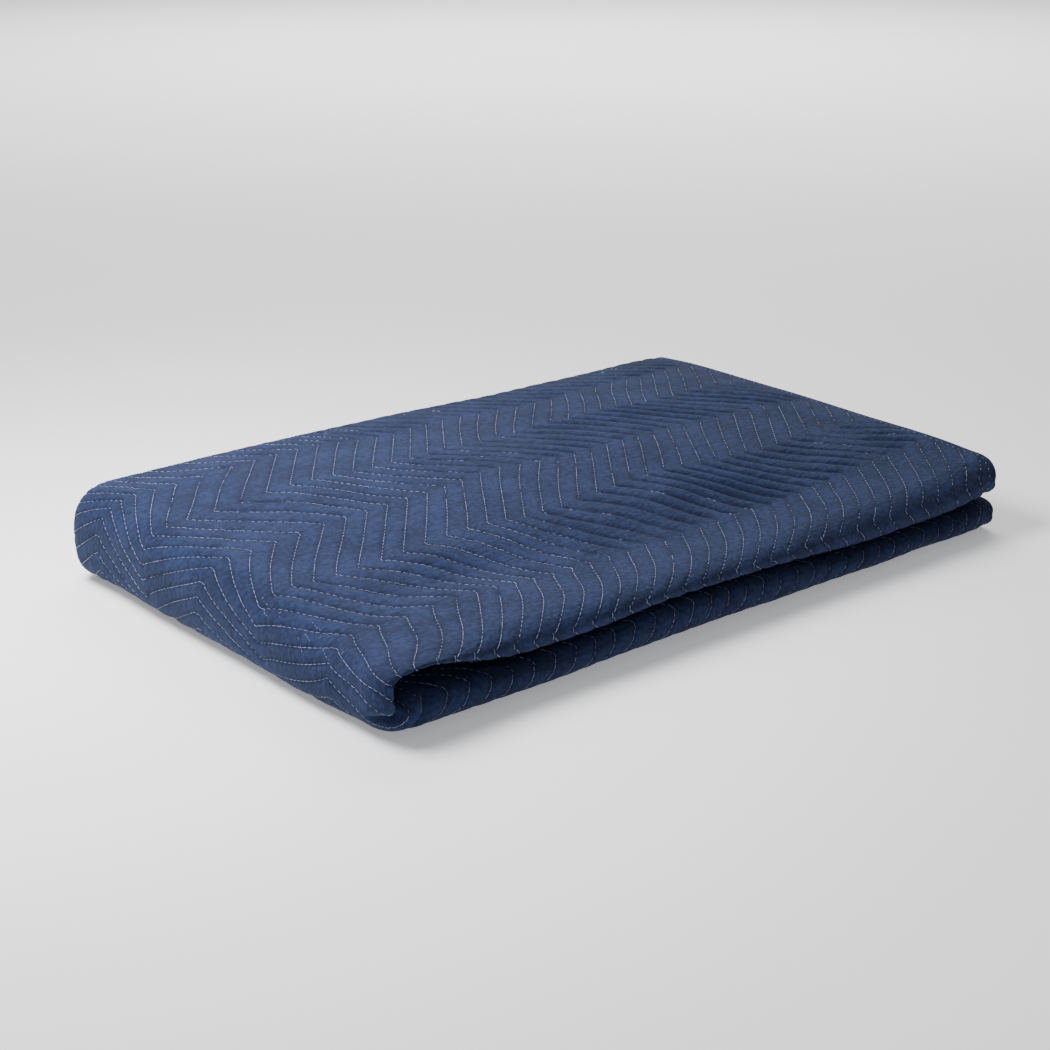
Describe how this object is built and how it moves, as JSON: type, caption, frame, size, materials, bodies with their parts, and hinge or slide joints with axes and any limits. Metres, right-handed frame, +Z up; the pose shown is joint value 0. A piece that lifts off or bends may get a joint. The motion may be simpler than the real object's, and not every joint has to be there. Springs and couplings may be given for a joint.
{
  "type": "folded moving blanket",
  "caption": "Quilted moving blanket folded into a low rectangular packet, with rounded front folds, an open slot between them and a rounded end.",
  "frame": {"origin": "bottom centre of the bounding box, on the surface the packet lies on", "axes": "+X along the long side, from the rounded fold to the hemmed ends; +Y from the open slot at the front to the back; +Z up"},
  "size_m": [0.86, 0.548, 0.1081],
  "materials": {
    "quilted_cloth": "matte woven navy cloth with pale quilting thread"
  },
  "bodies": {
    "root": {"blanket": "quilted_cloth"}
  },
  "joints": []
}
